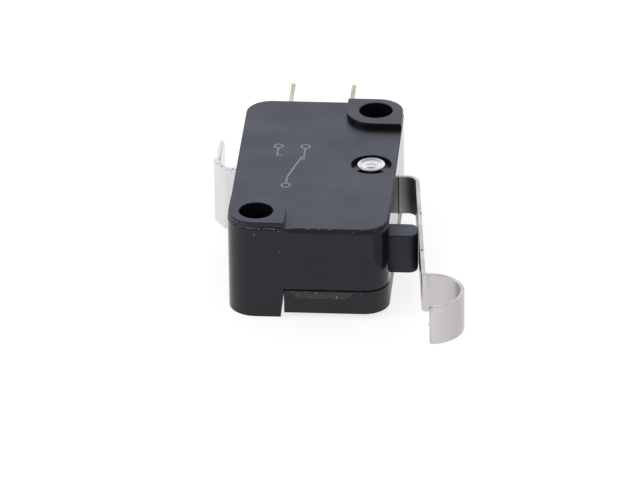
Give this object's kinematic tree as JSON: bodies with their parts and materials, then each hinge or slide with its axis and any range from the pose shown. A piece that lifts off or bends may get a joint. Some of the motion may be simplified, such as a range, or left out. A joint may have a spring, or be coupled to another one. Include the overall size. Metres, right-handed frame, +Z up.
{
  "type": "micro switch",
  "caption": "Miniature snap-action switch with a moulded case, riveted cover, folded hinge lever with a curled end, plunger, quick-connect tabs and a spring-loaded changeover contact.",
  "frame": {"origin": "on the axis of the mounting hole on the common terminal's side, at the height of the mounting face that the legs of the case rest on", "axes": "+X towards the plunger side, +Y along the body to the end with the paired tabs, +Z up out of the broad face along the mounting holes"},
  "size_m": [0.0264, 0.0472, 0.0103],
  "materials": {
    "case_plastic": "fine matt moulding texture on the broad face, semi-gloss sides",
    "cover_plastic": "semi-gloss black moulding",
    "rivet_steel": "bright, rolled",
    "plunger_plastic": "satin",
    "lever_steel": "satin strip with cut edges",
    "tinned_brass": "silver-white plating",
    "bare_brass": "pale yellow, satin",
    "contact_silver": "silver alloy, bright",
    "arm_copper": "beryllium copper, satin",
    "spring_steel": "drawn wire"
  },
  "bodies": {
    "housing": {"case": "case_plastic", "cover": "cover_plastic", "rivet": "rivet_steel", "common_terminal": "tinned_brass", "open_terminal": "bare_brass", "closed_terminal": "bare_brass", "open_contact": "contact_silver", "closed_contact": "contact_silver"},
    "lever": {"lever": "lever_steel"},
    "plunger": {"plunger": "plunger_plastic"},
    "actuating_arm": {"actuating_arm": "arm_copper"},
    "contact_arm": {"contact_arm": "arm_copper", "moving_contact": "contact_silver"},
    "snap_spring": {"snap_spring": "spring_steel"}
  },
  "joints": [
    {"name": "lever_hinge", "type": "hinge", "parent": "housing", "child": "lever", "pos_m": [0.01055, 0.0115, 0.0052], "axis": [0, 0, -1], "range_deg": [0, 12], "stiffness_Nm_per_rad": 0.05, "springref_deg": -8.59},
    {"name": "plunger_slide", "type": "slide", "parent": "housing", "child": "plunger", "axis": [-1, 0, 0], "range_m": [0, 0.00192]},
    {"name": "actuating_hinge", "type": "hinge", "parent": "housing", "child": "actuating_arm", "pos_m": [0.0041, 0.0084, 0.0052], "axis": [0, 0, -1], "range_deg": [0, 16.3]},
    {"name": "contact_hinge", "type": "hinge", "parent": "housing", "child": "contact_arm", "pos_m": [0.0051, 0.0102, 0.0052], "axis": [0, 0, 1], "range_deg": [0, 6.3]},
    {"name": "spring_hinge", "type": "hinge", "parent": "contact_arm", "child": "snap_spring", "pos_m": [0.00484, 0.0165, 0.0052], "axis": [0, 0, -1], "range_deg": [0, 8.9]}
  ],
  "couplings": [
    {"joint": "plunger_slide", "follows": "lever_hinge", "m_per_rad": 0.009141},
    {"joint": "actuating_hinge", "follows": "lever_hinge", "ratio": 1.352},
    {"joint": "contact_hinge", "follows": "lever_hinge", "ratio": 0.52},
    {"joint": "spring_hinge", "follows": "lever_hinge", "ratio": 0.735}
  ]
}
